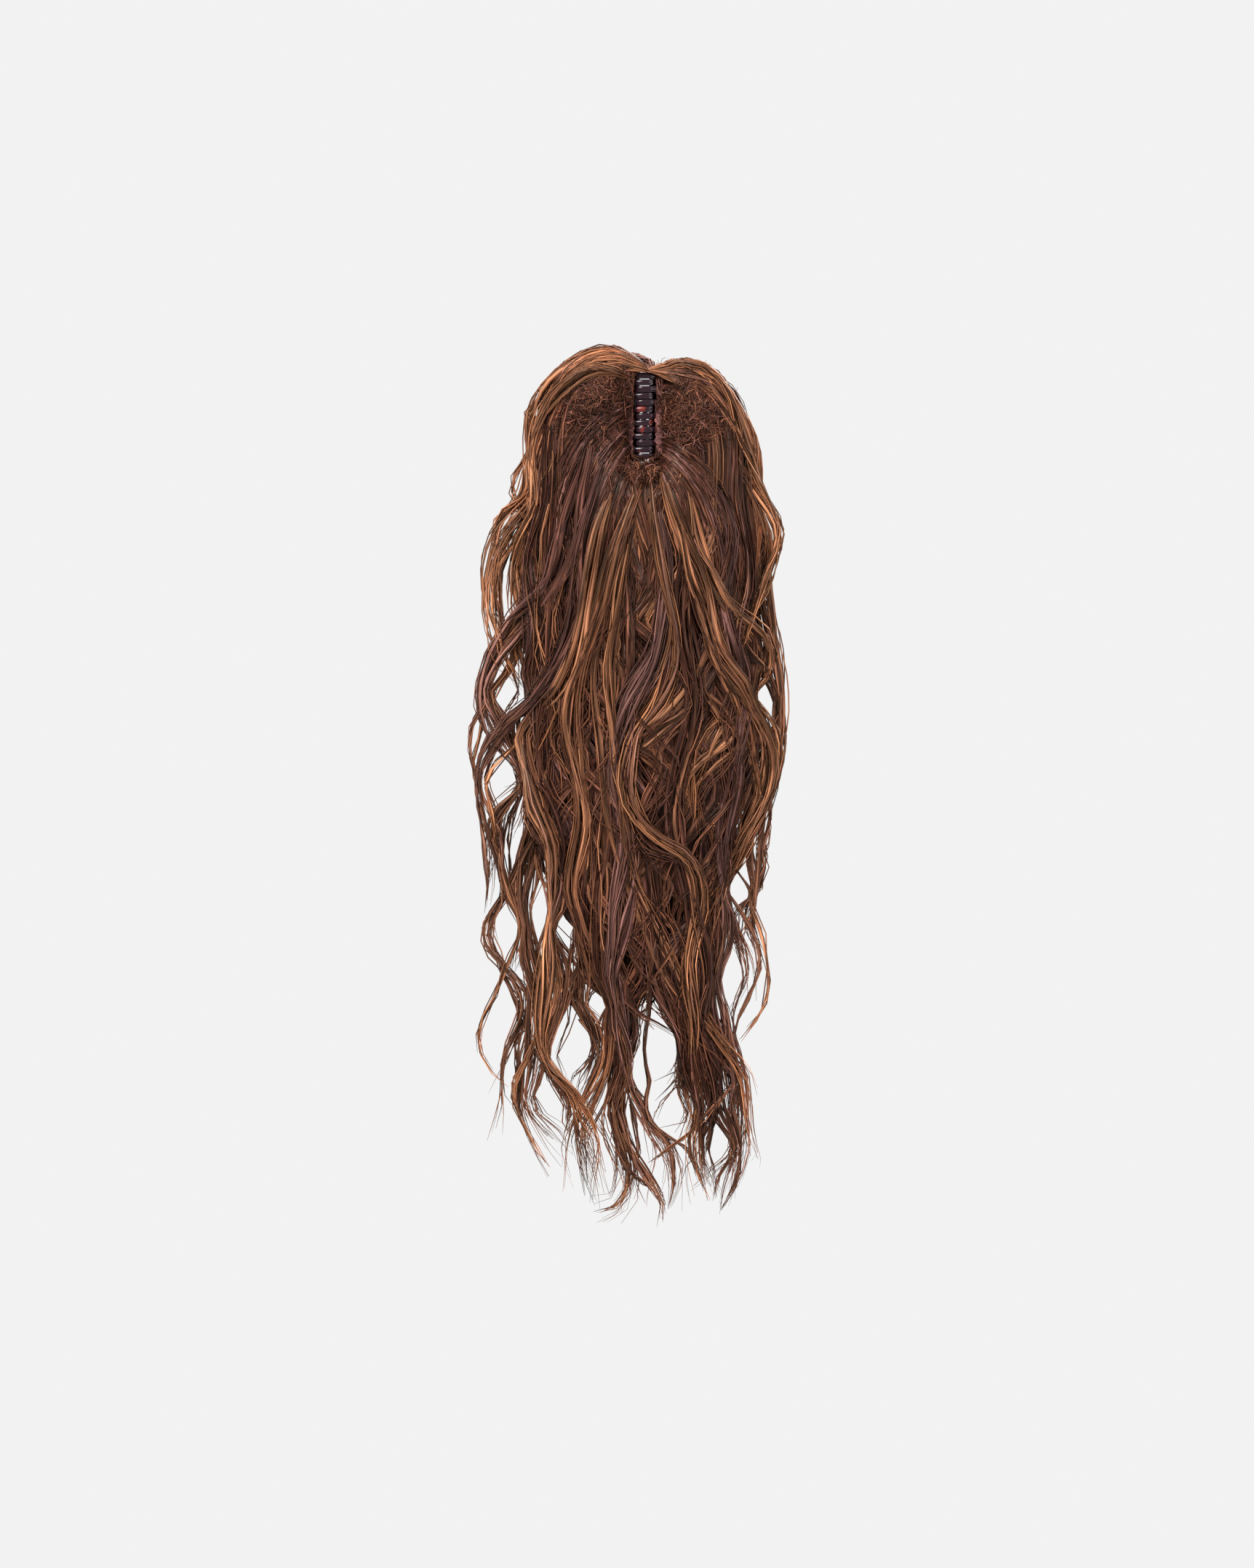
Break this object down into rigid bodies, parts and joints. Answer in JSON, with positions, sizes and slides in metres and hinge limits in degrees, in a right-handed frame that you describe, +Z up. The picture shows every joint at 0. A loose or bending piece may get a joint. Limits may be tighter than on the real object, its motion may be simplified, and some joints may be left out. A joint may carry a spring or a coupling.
{
  "type": "ponytail hairpiece on a claw clip",
  "caption": "Long wavy ponytail hairpiece parted over a sprung claw clip whose curved teeth interlock.",
  "frame": {"origin": "middle of the hollow between the clip's jaws, where the wearer's own hair is gripped", "axes": "+Z up along the hanging hair and the hinge, -Y the toothed side that lies on the head, +X the right of the parting seen from that side"},
  "size_m": [0.2116, 0.0814, 0.6062],
  "materials": {
    "clip_plastic": "dark tortoiseshell",
    "steel": "plain",
    "net": "elastic lace net",
    "hair": "wavy brown fibre with copper lights"
  },
  "bodies": {
    "left_half": {"jaw_left": "clip_plastic", "hinge_pin": "steel", "hinge_spring": "steel", "net_left": "net", "crown_left": "hair", "tail_left": "hair"},
    "right_half": {"jaw_right": "clip_plastic", "net_right": "net", "crown_right": "hair", "tail_right": "hair"}
  },
  "joints": [
    {"name": "claw_hinge", "type": "hinge", "parent": "left_half", "child": "right_half", "pos_m": [0, 0.0185, 0], "axis": [0, 0, 1], "range_deg": [0, 45], "stiffness_Nm_per_rad": 0.12, "springref_deg": -34.38}
  ]
}
